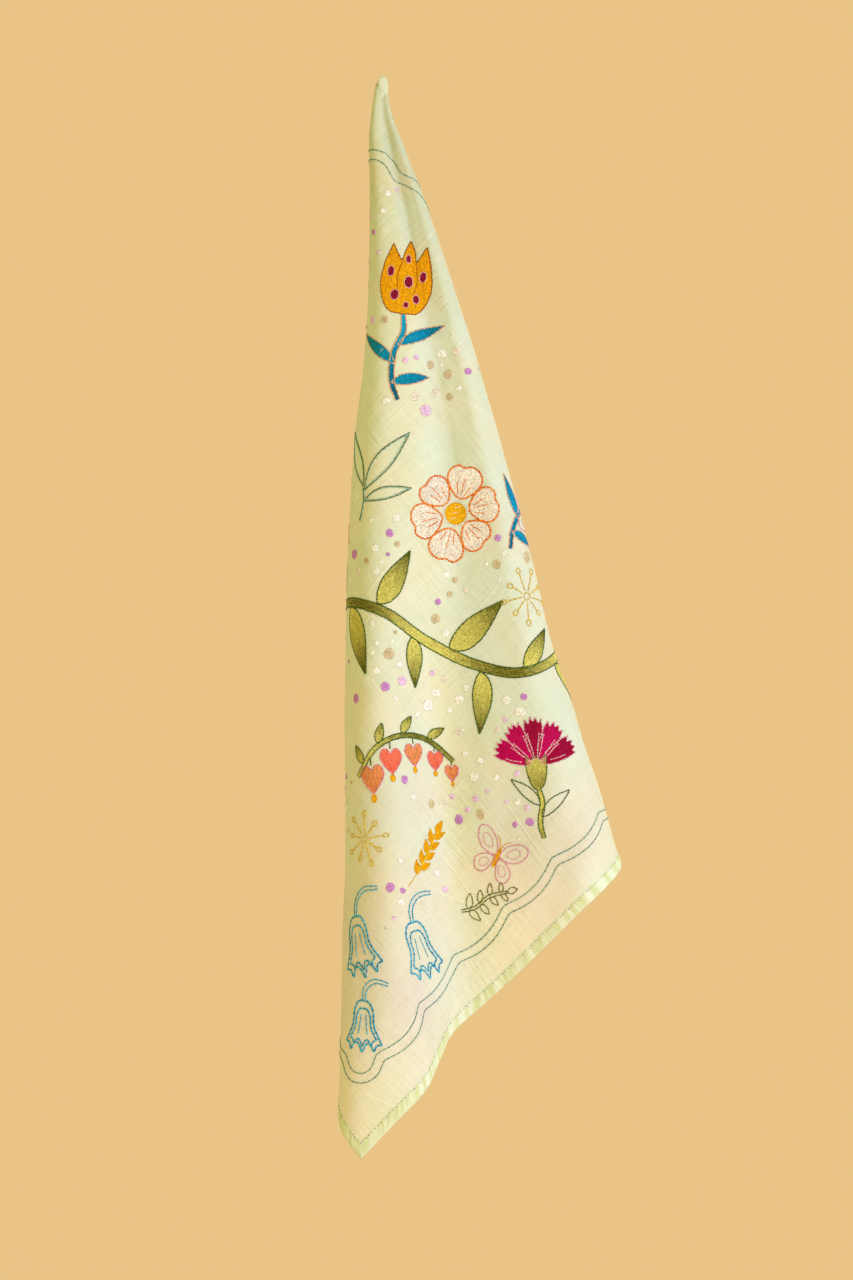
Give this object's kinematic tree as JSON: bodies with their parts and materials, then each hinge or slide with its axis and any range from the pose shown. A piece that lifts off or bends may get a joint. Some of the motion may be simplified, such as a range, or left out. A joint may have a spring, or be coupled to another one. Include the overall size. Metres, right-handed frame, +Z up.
{
  "type": "square embroidered cotton scarf",
  "caption": "Square cotton scarf with a narrow hem and embroidered flowers, hanging from one corner in soft folds.",
  "frame": {"origin": "the corner of the square that is held up", "axes": "+Z up, +X to the right of the front face, +Y away from the viewer of the front face"},
  "size_m": [0.2394, 0.2086, 0.9137],
  "materials": {
    "cotton_cloth": "soft matte plain weave, thin enough to glow against the light",
    "embroidery_thread": "stranded cotton in many colours, slightly shiny along the stitch"
  },
  "bodies": {
    "root": {"scarf": "cotton_cloth"}
  },
  "joints": []
}
